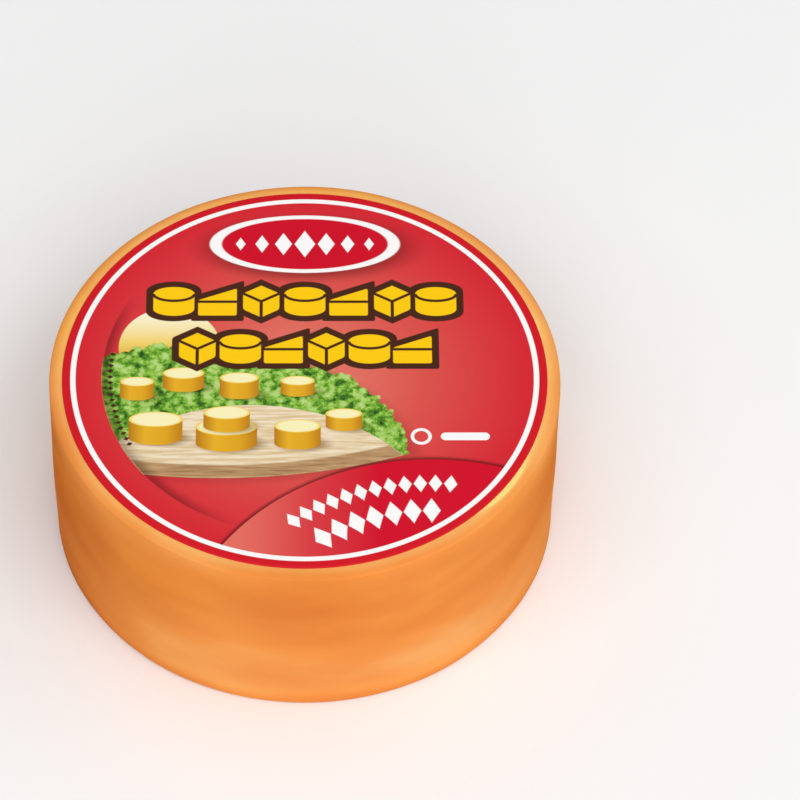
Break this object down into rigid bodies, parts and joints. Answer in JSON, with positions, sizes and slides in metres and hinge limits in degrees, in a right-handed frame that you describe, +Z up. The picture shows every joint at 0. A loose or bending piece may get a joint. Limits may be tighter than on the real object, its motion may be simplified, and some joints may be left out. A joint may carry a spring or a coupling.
{
  "type": "smoked kashkaval cheese wheel",
  "caption": "Small round wheel of smoked semi-hard cheese with a smooth orange rind and a round paper label covering its flat top.",
  "frame": {"origin": "centre of the flat underside, on the surface that the wheel rests on", "axes": "+Z up along the wheel's axis; +Y towards the top of the label's print, so someone looking along +Y reads it upright; +X to their right"},
  "size_m": [0.0904, 0.0904, 0.0371],
  "materials": {
    "rind": "smooth satin smoked rind, amber orange with faint darker streaks round it",
    "label": "satin coated paper printed in red, white and yellow"
  },
  "bodies": {
    "root": {"cheese_wheel": "rind", "top_label": "label"}
  },
  "joints": []
}
